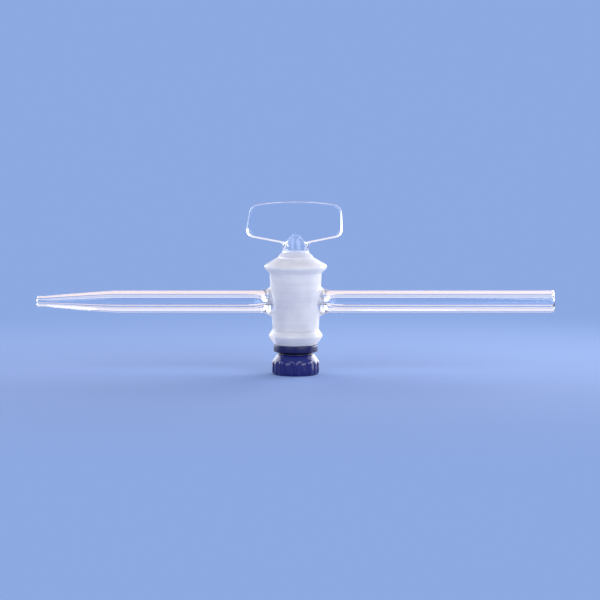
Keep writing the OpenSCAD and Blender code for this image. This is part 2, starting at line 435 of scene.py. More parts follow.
class NodeBoard:
    """The node tree of one material, or of the world."""

    def __init__(self, owner: Owner) -> None:
        """Starts with an empty tree.

        Args:
            owner: What the nodes belong to.
        """
        owner.use_nodes = True
        self.owner = owner
        self.tree = owner.node_tree
        self.tree.nodes.clear()

    @classmethod
    def of_material(cls, name: str) -> "NodeBoard":
        """Starts the board of a new material."""
        return cls(bpy.data.materials.new(name))

    @cached_property
    def place(self) -> Socket:
        """The piece's own coordinates."""
        return self.add("ShaderNodeTexCoord").outputs["Object"]

    def add(
        self,
        kind: str,
        settings: Optional[Mapping[str, object]] = None,
        inputs: Optional[Feeds] = None,
    ) -> bpy.types.Node:
        """Adds a node.

        Args:
            kind: The node's type.
            settings: Its settings, such as a Math node's operation.
            inputs: Values or links of its sockets.

        Returns:
            The node.
        """
        node = self.tree.nodes.new(kind)
        for key, value in (settings or {}).items():
            setattr(node, key, value)
        for key, value in (inputs or {}).items():
            socket = node.inputs[key]
            if isinstance(value, Signal):
                self.tree.links.new(value.socket, socket)
            elif isinstance(value, Socket):
                self.tree.links.new(value, socket)
            elif socket.type == "RGBA":
                socket.default_value = (*value, 1.0)
            else:
                socket.default_value = value
        return node

    def signal(self, kind: str, settings: Mapping[str, object], inputs: Feeds) -> Signal:
        """Adds a node and gives its first output as a signal."""
        return Signal(self, self.add(kind, settings, inputs).outputs[0])

    def noise(self, grain: Grain) -> Signal:
        """Adds noise on the piece's own coordinates.

        Args:
            grain: The noise's scale, stretch and detail.

        Returns:
            The noise, about 0 to 1.
        """
        spread = self.add("ShaderNodeMapping", {}, {"Vector": self.place, "Scale": grain.stretch})
        feeds = {"Vector": spread.outputs[0], "Scale": grain.scale, "Detail": grain.detail}
        return self.signal("ShaderNodeTexNoise", {}, feeds)

    def axes(self) -> tuple[Signal, Signal, Signal]:
        """Splits the piece's own coordinates, in metres."""
        split = self.add("ShaderNodeSeparateXYZ", {}, {0: self.place})
        return tuple(Signal(self, socket) for socket in split.outputs)

    def seen(self) -> Signal:
        """Tells the rays that show a surface, straight, mirrored or through glass.

        Returns:
            1 for such a ray, and 0 for a ray that only carries light.
        """
        path = self.add("ShaderNodeLightPath").outputs
        shown = Signal(self, path["Is Camera Ray"])
        for kind in ("Is Glossy Ray", "Is Transmission Ray"):
            shown = shown.most(Signal(self, path[kind]))
        return shown

    def mixed(self, share: Feed, first: Feed, second: Feed) -> Socket:
        """Mixes two colours.

        Args:
            share: Share of the second.
            first: Colour at 0.
            second: Colour at 1.

        Returns:
            The colour socket.
        """
        factor, first_colour, second_colour, colour_out = 0, 6, 7, 2
        feeds = {factor: share, first_colour: first, second_colour: second}
        return self.add("ShaderNodeMix", {"data_type": "RGBA"}, feeds).outputs[colour_out]

    def bumped(self, height: Signal, depth: float) -> Socket:
        """Makes a normal from a height.

        Args:
            height: The height, 0 to 1.
            depth: Depth in metres.

        Returns:
            The normal socket.
        """
        feeds = {"Height": height, "Distance": depth, "Strength": 1.0}
        return self.add("ShaderNodeBump", {}, feeds).outputs["Normal"]

    def surface(self, kind: str, inputs: Feeds) -> Socket:
        """Adds a shader node and gives its shader."""
        return self.add(kind, {}, inputs).outputs[0]

    def principled(self, inputs: Feeds) -> Socket:
        """Adds the shader that glass, plastic, rubber and paper share."""
        return self.surface("ShaderNodeBsdfPrincipled", inputs)

    def blended(self, share: Feed, first: Socket, second: Socket) -> Socket:
        """Mixes two shaders.

        Args:
            share: Share of the second.
            first: Shader at 0.
            second: Shader at 1.

        Returns:
            The mixed shader.
        """
        return self.surface("ShaderNodeMixShader", {0: share, 1: first, 2: second})

    def finish(self, shader: Socket, output: str = "ShaderNodeOutputMaterial") -> Owner:
        """Joins a shader to the output and gives the material or the world."""
        self.add(output, {}, {"Surface": shader})
        return self.owner


# ---------------------------------------------------------------- finishes


@dataclass(frozen=True)
class Finish:
    """A finish, which becomes one material.

    In the fields, a span is the two values between which a ramp eases, a share says how much of a
    colour or noise counts, a haze is what a noise adds to the roughness, and a relief is the depth
    of a bump in metres, or the part that a second noise has in it.
    """

    name: str

    def laid(self, board: NodeBoard) -> Socket:
        """Adds the finish's shader to a board and gives it."""
        raise NotImplementedError

    def made(self) -> Material:
        """Builds the material."""
        board = NodeBoard.of_material(self.name)
        return board.finish(self.laid(board))


@dataclass(frozen=True)
class ClearGlass(Finish):
    """Fire-polished glass with the faint waves of drawn and pressed glass."""

    tint: Colour = (0.965, 0.985, 1.0)
    waves: Grain = Grain(150, (0.02, 1.0, 1.0), 1.0)
    wave_depth: float = 0.000006
    polish: float = 0.004
    film: Grain = Grain(90, detail=4.0)
    film_span: Span = (0.55, 0.8)
    film_haze: float = 0.02

    def laid(self, board: NodeBoard) -> Socket:
        """Adds the glass's shader.

        Args:
            board: The material's board.

        Returns:
            The shader.
        """
        film = board.noise(self.film).ramped(*self.film_span)
        return board.principled(
            {
                "Base Color": self.tint,
                "Roughness": self.polish + film * self.film_haze,
                "IOR": GLASS_INDEX,
                "Transmission Weight": 1.0,
                "Normal": board.bumped(board.noise(self.waves), self.wave_depth),
            }
        )


@dataclass(frozen=True)
class GroundGlass(Finish):
    """Glass ground white, with the faint rings that the grinding leaves."""

    pale: Colour = (0.95, 0.935, 0.93)
    deep: Colour = (0.79, 0.775, 0.83)
    # Colour of a painted shade line, mixed in wherever line is above 0.
    shade_line_colour: Colour = (0.36, 0.36, 0.44)
    rings: Grain = Grain(900, (0.05, 0.05, 1.0), 4.0)
    cloud: Grain = Grain(150, (1, 1, 0.5))
    grit: Grain = Grain(7000, detail=2.0)
    ring_share: float = 0.35
    cloud_share: float = 0.75
    shade_span: Span = (0.42, 0.78)
    roughness: float = 0.5
    grit_haze: float = 0.2
    ring_relief: float = 0.5
    relief: float = 0.00003
    clearness: float = 0.2
    coat: float = 0.0
    coat_haze: float = 0.2
    sheen: float = 0.5
    sheen_haze: float = 0.4
    solid_behind: bool = False
    scatter: float = 0.9
    scatter_index: float = 1.05

    def laid(self, board: NodeBoard, line: Feed = 0.0) -> Socket:
        """Adds the ground glass's shader.

        Args:
            board: The material's board.
            line: How much of the painted shade colour is mixed in, as a dark line of painted shade.

        Returns:
            The shader.
        """
        rings, grit = board.noise(self.rings), board.noise(self.grit)
        blotches = rings * self.ring_share + board.noise(self.cloud) * self.cloud_share
        tone = board.mixed(blotches.ramped(*self.shade_span), self.pale, self.deep)
        face = board.principled(
            {
                # Painted shade: the dark line colour is mixed into the base colour here.
                "Base Color": board.mixed(line, tone, self.shade_line_colour),
                "Roughness": self.roughness + grit * self.grit_haze,
                "IOR": GLASS_INDEX,
                "Transmission Weight": self.clearness,
                "Coat Weight": self.coat,
                "Coat Roughness": self.coat_haze,
                "Sheen Weight": self.sheen,
                "Sheen Roughness": self.sheen_haze,
                "Normal": board.bumped(grit + rings * self.ring_relief, self.relief),
            }
        )
        return self.lit_through(board, face) if self.solid_behind else face

    def lit_through(self, board: NodeBoard, face: Socket) -> Socket:
        """Adds the scattered daylight that the ground face shows from inside the glass.

        Args:
            board: The material's board.
            face: The ground face's own shader.

        Returns:
            The shader of both sides.
        """
        inner = board.principled(
            {
                "Base Color": self.pale,
                "Roughness": self.scatter,
                "IOR": self.scatter_index,
                "Transmission Weight": 1.0,
            }
        )
        side = board.add("ShaderNodeNewGeometry").outputs["Backfacing"]
        return board.blended(side, face, inner)


@dataclass(frozen=True)
class VeiledGlass(Finish):
    """The barrel's skin: clear along the arms, and milky where it lies over the ground bore.

    Attributes:
        arms_z: Height of the arms' axis.
        wall_r: The wall's radius at that height.
        wall_slope: How much the wall widens with height.
        line_z: Height of a faint line of painted shade, just under the wall's junction with the foot
            rim. It is painted in place of the bore's end showing through.
        line_span: Distances from that height between which the painted line fades.
        wall_span: Distances off the wall between which the veil fades.
        arm_span: Distances from the arms' axis between which it comes back.
        veil: Least share of the milky finish.
        veil_drift: How much the cloud adds to it.
        line_depth: Least strength of the painted shade line.
        line_drift: How much the cloud adds to it.
    """

    arms_z: float
    wall_r: float
    wall_slope: float
    line_z: float
    line_span: Span = (0.00008, 0.00034)
    wall_span: Span = (0.0003, 0.0013)
    arm_span: Span = (0.0054, 0.0062)
    veil: float = 0.8
    veil_drift: float = 0.12
    line_depth: float = 0.35
    line_drift: float = 0.4
    cloud: Grain = Grain(220)

    def laid(self, board: NodeBoard) -> Socket:
        """Adds the skin's shader.

        Args:
            board: The material's board.

        Returns:
            The shader.
        """
        x, y, z = board.axes()
        rise = z - self.arms_z
        off_wall = (x * x + y * y) ** 0.5 - rise * self.wall_slope - self.wall_r
        near_wall = 1 - off_wall.ramped(*self.wall_span)
        off_arms = rise.sized().ramped(*self.arm_span)
        cloud = board.noise(self.cloud)
        share = near_wall.most(off_arms) * (self.veil + cloud * self.veil_drift)
        # Painted shade: a faint dark ring round the skin at line_z, stronger where the cloud is.
        near_shade_line = 1 - (z - self.line_z).sized().ramped(*self.line_span)
        line = near_shade_line * (self.line_depth + cloud * self.line_drift)
        milky = GroundGlass(self.name, clearness=0.35, coat=0.6).laid(board, line)
        return board.blended(share, ClearGlass(self.name).laid(board), milky)


@dataclass(frozen=True)
class MouldedPlastic(Finish):
    """Moulded plastic with a fine skin and a little wear where it is gripped."""

    body: Colour
    worn: Colour
    roughness: float
    coat: float = 0.0
    coat_haze: float = 0.12
    index: float = 1.42
    skin: Grain = Grain(2600)
    flow: Grain = Grain(240, (1, 1, 0.4))
    wear: Grain = Grain(700, (1, 1, 0.3), 5.0)
    wear_span: Span = (0.58, 0.8)
    wear_share: float = 0.35
    flow_share: float = 0.15
    wear_haze: float = 0.12
    skin_haze: float = 0.05
    flow_relief: float = 0.6
    relief: float = 0.00002

    def laid(self, board: NodeBoard) -> Socket:
        """Adds the plastic's shader.

        Args:
            board: The material's board.

        Returns:
            The shader.
        """
        skin, flow = board.noise(self.skin), board.noise(self.flow)
        wear = board.noise(self.wear).ramped(*self.wear_span)
        tone = board.mixed(wear * self.wear_share + flow * self.flow_share, self.body, self.worn)
        return board.principled(
            {
                "Base Color": tone,
                "Roughness": self.roughness + wear * self.wear_haze + skin * self.skin_haze,
                "IOR": self.index,
                "Coat Weight": self.coat,
                "Coat Roughness": self.coat_haze,
                "Normal": board.bumped(skin + flow * self.flow_relief, self.relief),
            }
        )


@dataclass(frozen=True)
class BlackRubber(Finish):
    """Smooth black rubber with a trace of dust."""

    body: Colour = (0.012, 0.012, 0.018)
    dusty: Colour = (0.06, 0.06, 0.07)
    roughness: float = 0.35
    index: float = 1.52
    dust: Grain = Grain(1800, detail=5.0)
    dust_span: Span = (0.5, 0.8)
    dust_share: float = 0.4
    dust_haze: float = 0.25
    relief: float = 0.00001

    def laid(self, board: NodeBoard) -> Socket:
        """Adds the rubber's shader.

        Args:
            board: The material's board.

        Returns:
            The shader.
        """
        dust = board.noise(self.dust).ramped(*self.dust_span)
        return board.principled(
            {
                "Base Color": board.mixed(dust * self.dust_share, self.body, self.dusty),
                "Roughness": self.roughness + dust * self.dust_haze,
                "IOR": self.index,
                "Normal": board.bumped(dust, self.relief),
            }
        )


@dataclass(frozen=True)
class StudioPaper(Finish):
    """Plain matt paper for the floor and the wall, evenly pale in the distance.

    Attributes:
        colour: The colour that shows in the distance.
        lit_share: Share of that colour that the lit paper near the stopcock has.
        fade_span: Distances from the middle between which the one becomes the other.
        fibre_share: How much of the darker fibre shows.
        fibre_shade: The fibre's tone against the paper's.
    """

    colour: Colour
    lit_share: float = 0.86
    fade_span: Span = (0.05, 0.26)
    fibre: Grain = Grain(60, detail=4.0)
    fibre_share: float = 0.05
    fibre_shade: float = 0.9
    roughness: float = 0.9
    index: float = 1.3

    def laid(self, board: NodeBoard) -> Socket:
        """Adds the paper's shader.

        Args:
            board: The material's board.

        Returns:
            The shader.
        """
        lit = tuple(self.lit_share * c for c in self.colour)
        fibre = tuple(self.fibre_shade * c for c in lit)
        tone = board.mixed(board.noise(self.fibre) * self.fibre_share, lit, fibre)
        paper = board.principled({"Base Color": tone, "Roughness": self.roughness, "IOR": self.index})
        even = board.surface("ShaderNodeEmission", {"Color": self.colour, "Strength": 1.0})
        x, y, _ = board.axes()
        distant = ((x * x + y * y) ** 0.5).ramped(*self.fade_span)
        return board.blended(board.seen() * distant, paper, even)


# ---------------------------------------------------------------- shared sizes


@dataclass(frozen=True)
class Layout:
    """Heights and reaches that several pieces share."""

    foot_z: float
    mouth_z: float
    axis_z: float
    arm_reach: float
    taper_r: float = 6.25
    taper_ratio: float = 10.0
    film: float = 0.04
    passage_r: float = 1.0
    arm_r: float = 4.0

    @classmethod
    def from_frame(cls, frame: Mapping[str, object]) -> "Layout":
        """Takes the layout from the frame.


        Returns:
            The layout in millimetres.
        """
        low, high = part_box("barrel")
        mounts = {m["name"]: m for m in frame["record"]["mounts"]}
        axis_z = mounts["inlet_arm"]["pos_m"][2] / MM
        return cls(low[2] / MM, high[2] / MM, axis_z, high[0] / MM)

    def bore_r(self, z: float) -> float:
        """Gives the ground bore's radius at a height."""
        return self.taper_r - (self.mouth_z - z) / (2 * self.taper_ratio)


class Piece:
    """A finished piece: what it stands for, the body it rides on and its finish.

    In the fields, _r is a radius, _x and _z are places, and _w, _h and _t are the piece's own width,
    height and thickness.
    """

    name: str
    node: str
    body: str
    slot: str

    def shaped(self) -> Block:
        """Builds the mesh in millimetres."""
        raise NotImplementedError

    def finishes(self) -> list[Finish]:
        """Lists the finishes, in the order of the mesh's material indices."""
        raise NotImplementedError

    def placed(self) -> None:
        """Builds, dresses and places the piece: at the origin, with its place in its mesh."""
        block = self.shaped()
        block.name = block.data.name = self.name
        block.data.transform(Matrix.Scale(MM, 4))
        for finish in self.finishes():
            block.data.materials.append(finish.made())
        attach(block, self.body)
        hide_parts(self.node)
        LOG.info("%s: %d faces, rides on %s", self.name, len(block.data.polygons), self.body)

    @staticmethod
    def smoothed(block: Block, crease: float) -> Block:
        """Shades a block smooth, apart from its sharp edges.

        Args:
            block: The block.
            crease: Angle in degrees past which an edge stays sharp.

        Returns:
            The same block.
        """
        block.data.shade_smooth()
        block.data.set_sharp_from_angle(angle=math.radians(crease))
        return block


# ---------------------------------------------------------------- barrel


@dataclass
class GlassBarrel(Piece):
    """The barrel with its two arms, fused into one piece of glass."""

    layout: Layout
    top_r: float = 9.55
    foot_r: float = 7.9
    mouth_rim_r: float = 11.15
    foot_rim_r: float = 9.55
    foot_face_r: float = 7.3
    rim_inset: float = 3.2
    rim_nose: float = 0.95
    foot_roll: float = 36
    mouth_roll: float = 38
    mouth_crown: float = 64
    mouth_lip: float = 0.35
    arm_bore_r: float = 1.7
    weld_reach: float = 3.4
    weld_rise: float = 1.3
    weld_root: float = 2.0
    throat_x: float = 9.02
    throat_len: float = 6.5
    stub_x: float = 18.5
    seam_x: float = 16.5
    seam_w: float = 0.4
    inlet_polish: float = 0.9
    inlet_lip: float = 1.25
    jet_polish: float = 0.6
    jet_tip_r: float = 1.95
    jet_bore_r: float = 0.6
    jet_taper: float = 25.5
    jet_tip_len: float = 3.1
    jet_fullness: float = 1.3
    jet_lip: float = 0.5
    ground_play: float = 0.05
    # How far under the wall's junction with the foot rim the painted shade line lies.
    line_drop: float = 0.2
    grain: float = 0.22
    melt_rounds: int = 5

    name = "glass_barrel"
    node = "barrel"
    body = "barrel"
    slot = "barrel_glass"

    def wall_r(self, z: float) -> float:
        """Gives the wall's outer radius at a height."""
        share = (z - self.layout.foot_z) / (self.layout.mouth_z - self.layout.foot_z)
        return self.foot_r + (self.top_r - self.foot_r) * share

    def body_outline(self) -> Outline:
        """Lays out the barrel's body with its two flared rims.

        Returns:
            The points from the foot's centre up to the mouth's.
        """
        foot_z, mouth_z, nose = self.layout.foot_z, self.layout.mouth_z, self.rim_nose
        low, high = foot_z + self.rim_inset, mouth_z - self.rim_inset
        flare = self.rim_inset - nose
        return [
            (0, foot_z),
            (self.foot_face_r, foot_z),
            *Shaper.arc(self.foot_rim_r - nose, low, nose, -self.foot_roll, self.foot_roll),
            (self.wall_r(low + flare), low + flare),
            (self.wall_r(high - flare), high - flare),
            *Shaper.arc(self.mouth_rim_r - nose, high, nose, -self.mouth_roll, self.mouth_crown),
            (self.layout.taper_r + self.mouth_lip, mouth_z),
            (0, mouth_z),
        ]

    def stub_outline(self, steps: int = 10) -> Outline:
        """Lays out one arm's root, with the flare where it is fused on.

        Args:
            steps: Number of chords along the flare.

        Returns:
            The points, with their height measured along the arm.
        """
        arm_r, wall = self.layout.arm_r, self.wall_r(self.layout.axis_z)
        sunk, end = wall - self.weld_root, self.stub_x
        shares = [i / steps for i in range(steps + 1)]
        flare = [(arm_r + self.weld_rise * (1 - t) ** 2, wall + self.weld_reach * t) for t in shares]
        return [(0, sunk), (arm_r + self.weld_rise, sunk), *flare, (arm_r, end), (0, end)]

    def passage_outline(self, steps: int = 12) -> Outline:
        """Lays out the way through barrel and roots, from end to end.

        Args:
            steps: Number of chords along each throat.

        Returns:
            The points, with their height measured along the arms.
        """
        bore, passage, end = self.arm_bore_r, self.layout.passage_r, self.stub_x + OVERSHOOT
        half = []
        for i in range(steps + 1):
            ease = (1 - math.cos(math.pi * i / steps)) / 2
            x = self.throat_x + self.throat_len * i / steps
            half.append((passage + (bore - passage) * ease, x))
        half.append((bore, end))
        return [(0, -end), *[(r, -x) for r, x in reversed(half)], *half, (0, end)]

    def drawn(self, wide: float, narrow: float) -> Outline:
        """Lays out the jet's taper from a wide to a narrow radius."""
        start = self.layout.arm_reach - self.jet_tip_len - self.jet_taper
        return Shaper.drawn_in(wide, narrow, start, self.jet_taper, self.jet_fullness, steps=24)

    def arm_outline(self, side: Outline, bore: Outline, polish: float, lip: float) -> Outline:
        """Lays out an arm's wall.

        Args:
            side: Points along the outer side, from the root to the end.
            bore: Points along the bore, from the root to the end.
            polish: Radius of the end's outer rounding.
            lip: Radius of its inner rounding.

        Returns:
            The points, out along the outer side and back along the bore.
        """
        reach, end_r, hole_r = self.layout.arm_reach, side[-1][0], bore[-1][0]
        outer = Shaper.arc(end_r - polish, reach - polish, polish, 0, 90)
        inner = Shaper.arc(hole_r + lip, reach - lip, lip, 90, 180, steps=6)
        return [*side, *outer, *inner, *reversed(bore)]

    def arms(self) -> list[Shell]:
        """Makes the plain inlet arm and the arm that is drawn out into the jet.

        Returns:
            The two arms, open towards the barrel.
        """
        arm_r, bore_r, start = self.layout.arm_r, self.arm_bore_r, self.seam_x + self.seam_w
        side, bore = [(arm_r, start)], [(bore_r, start)]
        jet_side = side + self.drawn(arm_r, self.jet_tip_r)
        jet_bore = bore + self.drawn(bore_r, self.jet_bore_r)
        inlet = self.arm_outline(side, bore, self.inlet_polish, self.inlet_lip)
        jet = self.arm_outline(jet_side, jet_bore, self.jet_polish, self.jet_lip)
        height = self.layout.axis_z
        return [Shaper.laid(Shaper.turned(wall), arm, height) for wall, arm in zip((inlet, jet), Arm)]

    def blank(self) -> Block:
        """Fuses body and roots, and bores them.

        Returns:
            The barrel without its arms.
        """
        lay, height = self.layout, self.layout.axis_z
        roots = [Shaper.laid(Shaper.turned(self.stub_outline(), 64), arm, height) for arm in Arm]
        solid = Shaper.merged(Shaper.turned(self.body_outline()), *roots)
        block = Shaper.fused(solid, "barrel_blank", self.grain, self.melt_rounds)
        low, high = lay.foot_z - OVERSHOOT, lay.mouth_z + OVERSHOOT
        bore = [(0, low), (lay.bore_r(low), low), (lay.bore_r(high), high), (0, high)]
        Shaper.cut(block, Shaper.turned(bore, 128))
        passage = Shaper.turned(self.passage_outline(), 64)
        return Shaper.cut(block, Shaper.laid(passage, Arm.INLET, height))

    def shaped(self) -> Block:
        """Joins the arms on to the blank.

        Returns:
            The whole barrel.
        """
        block, height = self.blank(), self.layout.axis_z
        middle = Shaper.loose(block)
        for side in (-1, 1):
            Shaper.opened(middle, (side * self.seam_x, 0, height), (side, 0, 0))
        whole = Shaper.merged(middle, *self.arms())
        split = (self.layout.arm_r + self.arm_bore_r) / 2

        def on_rim(side: int, outer: bool) -> Callable[[Vector], bool]:
            """Makes the test for one rim pair."""
            return lambda co: co.x * side > 0 and (math.hypot(co.y, co.z - height) > split) == outer

        for side in (-1, 1):
            for outer in (True, False):
                Shaper.bridged(whole, on_rim(side, outer))
        bmesh.ops.recalc_face_normals(whole, faces=whole.faces)
        Shaper.marked(whole, lambda r, z: abs(r - self.layout.bore_r(z)) < self.ground_play)
        Shaper.stored(whole, block)
        return self.smoothed(block, 40)

    def finishes(self) -> list[Finish]:
        """Lists the veiled skin and the ground bore.

        Returns:
            The two finishes.
        """
        axis_z = self.layout.axis_z
        slope = self.wall_r(axis_z + 1) - self.wall_r(axis_z)
        # Height of the painted shade line: the foot rim's junction with the wall, less line_drop.
        line_z = self.layout.foot_z + 2 * self.rim_inset - self.rim_nose - self.line_drop
        skin = VeiledGlass("barrel_skin", axis_z * MM, self.wall_r(axis_z) * MM, slope, line_z * MM)
        return [skin, GroundGlass("barrel_ground", clearness=0.6)]


# ---------------------------------------------------------------- key


@dataclass
class GlassKey(Piece):
    """The key: grip, neck, shoulder, ground taper and grooved tail in one piece of glass."""

    layout: Layout
    shoulder_h: float = 2.0
    neck_r: float = 4.6
    neck_h: float = 1.8
    neck_root: float = 1.0
    web_r: float = 2.0
    web_half: float = 1.5
    grip_w: float = 32.6
    grip_h: float = 15.1
    grip_t: float = 5.0
    grip_crown: float = 1.1
    grip_lean_jet: float = 1.1
    grip_lean_inlet: float = 0.3
    grip_corner: float = 2.9
    grip_edge: float = 0.85
    grip_low_edge: float = 1.7
    grip_foot_rise: float = 3.2
    ridge_h: float = 4.6
    ridge_r: float = 4.0
    ridge_root: float = 3.0
    ridge_fullness: float = 2.6
    tail_r: float = 4.0
    groove_r: float = 3.1
    groove_z: float = 2.0
    groove_h: float = 2.2
    tail_recess: float = 0.6
    edge_break: float = 0.3
    key_setback: float = 0.6
    key_overrun: float = 0.4
    seam_rise: float = 0.25
    seam_w: float = 0.2
    grain: float = 0.2
    melt_rounds: int = 10

    name = "glass_key"
    node = "key"
    body = "key"
    slot = "key_glass"

    def shoulder_z(self) -> float:
        """Gives the height of the shoulder's top."""
        return self.layout.mouth_z + self.shoulder_h

    def seam_z(self) -> float:
        """Gives the height at which stem and head are joined, low on the neck."""
        return self.shoulder_z() + self.seam_rise

    def neck_z(self) -> float:
        """Gives the height at which the neck's plain stretch ends."""
        return self.shoulder_z() + self.neck_h

    def stem_outline(self) -> Outline:
        """Lays out everything under the neck.

        Returns:
            The points from the tail's recess up to the open top.
        """
        edge, lay = self.edge_break, self.layout
        low, high = lay.foot_z + self.key_setback, lay.mouth_z + self.key_overrun
        groove_top = self.groove_z + self.groove_h
        return [
            (0, self.tail_recess),
            (self.tail_r - edge, self.tail_recess),
            (self.tail_r, self.tail_recess + edge),
            (self.tail_r, self.groove_z),
            (self.groove_r, self.groove_z),
            (self.groove_r, groove_top),
            (self.tail_r, groove_top),
            (self.tail_r, low),
            (lay.bore_r(low + edge) - lay.film, low + edge),
            (lay.bore_r(high) - lay.film, high),
            (self.neck_r, self.shoulder_z()),
            (self.neck_r, self.seam_z()),
        ]

    def puck(self, x: float, z: float, r: float, edge: float) -> Shell:
        """Makes one rounded disc, as thick as the grip, that stands at a corner of it.

        Args:
            x: Place across the grip.
            z: Height.
            r: Radius.
            edge: Radius of the rounding along its rims.

        Returns:
            The disc.
        """
        half = self.grip_t / 2
        outline = [(0, -half), *Shaper.arc(r - edge, edge - half, edge, -90, 0, steps=14)]
        outline += [*Shaper.arc(r - edge, half - edge, edge, 0, 90, steps=14), (0, half)]
        disc = Shaper.turned(outline, 72)
        upright = Matrix.Rotation(math.pi / 2, 3, "X")
        bmesh.ops.rotate(disc, verts=disc.verts, cent=(0, 0, 0), matrix=upright)
        bmesh.ops.translate(disc, verts=disc.verts, vec=(x, 0, z))
        return disc

    def blade(self) -> Shell:
        """Makes the flat grip as the hull of its corner discs.

        Returns:
            The grip.
        """
        foot = self.neck_z() + self.web_r / 2
        top, corner, edge = foot + self.grip_h, self.grip_corner, self.grip_low_edge
        span, corner_z = self.grip_w / 2 - corner, self.neck_z() + self.grip_foot_rise + corner
        discs = []
        for i in range(-4, 5):
            share = i / 4
            z = top - corner - self.grip_crown * share**2
            discs.append(self.puck(share * span, z, corner, self.grip_edge))
        discs.append(self.puck(span + self.grip_lean_inlet, corner_z, corner, edge))
        discs.append(self.puck(-span - self.grip_lean_jet, corner_z, corner, edge))
        discs += [self.puck(side * (self.neck_r - edge), foot + edge, edge, edge) for side in (-1, 1)]
        return Shaper.hull(*discs)

    def column(self) -> Shell:
        """Makes the neck's flat column with its fully round sides.

        Returns:
            The column.
        """
        half = self.grip_t / 2
        low, high = self.shoulder_z() - self.neck_root, self.neck_z() + self.web_r
        posts = [Shaper.turned([(0, low), (half, low), (half, high), (0, high)], 48) for _ in range(2)]
        for post, side in zip(posts, (-1, 1)):
            bmesh.ops.translate(post, verts=post.verts, vec=(side * (self.neck_r - half), 0, 0))
        return Shaper.hull(*posts)

    def webs(self) -> Shell:
        """Makes the concave webs that carry the neck's sides out into the grip.

        Returns:
            The webs, sawn flat in front and behind.
        """
        z, r = self.neck_z(), self.web_r
        low = z - self.neck_root
        curve = Shaper.arc(self.neck_r + r, z, r, 180, 90)
        webs = Shaper.turned([(0, low), (self.neck_r, low), *curve, (0, z + r)])
        for side in (-1, 1):
            Shaper.opened(webs, (0, side * self.web_half, 0), (0, side, 0))
            bmesh.ops.holes_fill(webs, edges=[e for e in webs.edges if e.is_boundary], sides=0)
        return webs

    def ridge(self) -> Shell:
        """Makes shoulder and neck, and the pointed arch in which the neck fades into the grip.

        Returns:
            The ridge, from inside the taper up to the arch's point.
        """
        lay, shoulder = self.layout, self.shoulder_z()
        low, top = lay.mouth_z - self.ridge_root, lay.mouth_z + self.key_overrun
        tall, thin = self.neck_h + self.ridge_h, self.grip_t / 2
        return Shaper.turned(
            [
                (0, low),
                (lay.bore_r(low) - lay.film, low),
                (lay.bore_r(top) - lay.film, top),
                (self.neck_r, shoulder),
                *Shaper.drawn_in(self.ridge_r, thin, shoulder, tall, self.ridge_fullness, steps=12),
                (0, shoulder + tall),
            ]
        )

    def drill(self) -> Shell:
        """Makes the drill for the passage.

        Returns:
            The drill, laid along the arms.
        """
        reach, r = 2 * self.layout.taper_r, self.layout.passage_r
        drill = Shaper.turned([(0, -reach), (r, -reach), (r, reach), (0, reach)], 48)
        return Shaper.laid(drill, Arm.INLET, self.layout.axis_z)

    def shaped(self) -> Block:
        """Presses the grip in one, joins it to the stem and drills the passage.

        Returns:
            The key.
        """
        shells = Shaper.merged(self.blade(), self.column(), self.webs(), self.ridge())
        block = Shaper.fused(shells, "grip_blank", self.grain, self.melt_rounds)
        grip = Shaper.loose(block)
        Shaper.opened(grip, (0, 0, self.seam_z() + self.seam_w), (0, 0, -1))
        whole = Shaper.merged(grip, Shaper.turned(self.stem_outline()))
        Shaper.bridged(whole, lambda co: True)
        bmesh.ops.recalc_face_normals(whole, faces=whole.faces)
        Shaper.stored(whole, block)
        Shaper.cut(block, self.drill())
        ground = Shaper.loose(block)
        Shaper.marked(ground, self.is_ground)
        Shaper.stored(ground, block)
        return self.smoothed(block, 40)

    def is_ground(self, r: float, z: float) -> bool:
        """Says whether a place on the skin belongs to taper or shoulder."""
        return r > self.tail_r + self.edge_break and self.layout.foot_z < z < self.shoulder_z()

    def finishes(self) -> list[Finish]:
        """Lists the clear and the ground glass."""
        clear = ClearGlass("key_clear", waves=Grain(150, detail=1.0))
        return [clear, GroundGlass("key_ground", clearness=0.6, solid_behind=True)]


# ---------------------------------------------------------------- retainer


@dataclass
class SplitCollar(Piece):
    """The split collar that sits in the tail's groove and carries the nut's thread."""

    r: float = 5.0
    height: float = 4.1
    low_z: float = 0.9
    groove_z: float = 2.0
    groove_h: float = 2.2
    groove_r: float = 3.15
    play: float = 0.05
    tail_r: float = 4.05
    slit: float = 1.0
    edge: float = 0.25

    name = "split_collar_ring"
    node = "split_collar"
    body = "key"
    slot = "collar_plastic"

    def shaped(self) -> Block:
        """Turns the collar and saws its slit.

        Returns:
            The collar.
        """
        top = self.low_z + self.height
        groove_low, groove_top = self.groove_z + self.play, self.groove_z + self.groove_h - self.play
        ring = Shaper.turned(
            [
                (self.tail_r, self.low_z),
                (self.r - self.edge, self.low_z),
                (self.r, self.low_z + self.edge),
                (self.r, top - self.edge),
                (self.r - self.edge, top),
                (self.tail_r, top),
                (self.tail_r, groove_top),
                (self.groove_r, groove_top),
                (self.groove_r, groove_low),
                (self.tail_r, groove_low),
            ],
            closed=True,
        )
        saw = bmesh.new()
        bmesh.ops.create_cube(saw, size=1)
        bmesh.ops.scale(saw, verts=saw.verts, vec=(2 * self.r, self.slit, 4 * self.height))
        bmesh.ops.translate(saw, verts=saw.verts, vec=(-self.r, 0, self.height))
        return self.smoothed(Shaper.cut(Shaper.block(ring, self.name), saw), 30)

    def finishes(self) -> list[Finish]:
        """Lists the collar's plastic."""
        return [MouldedPlastic("collar_plastic", (0.78, 0.79, 0.83), (0.68, 0.69, 0.74), 0.4)]


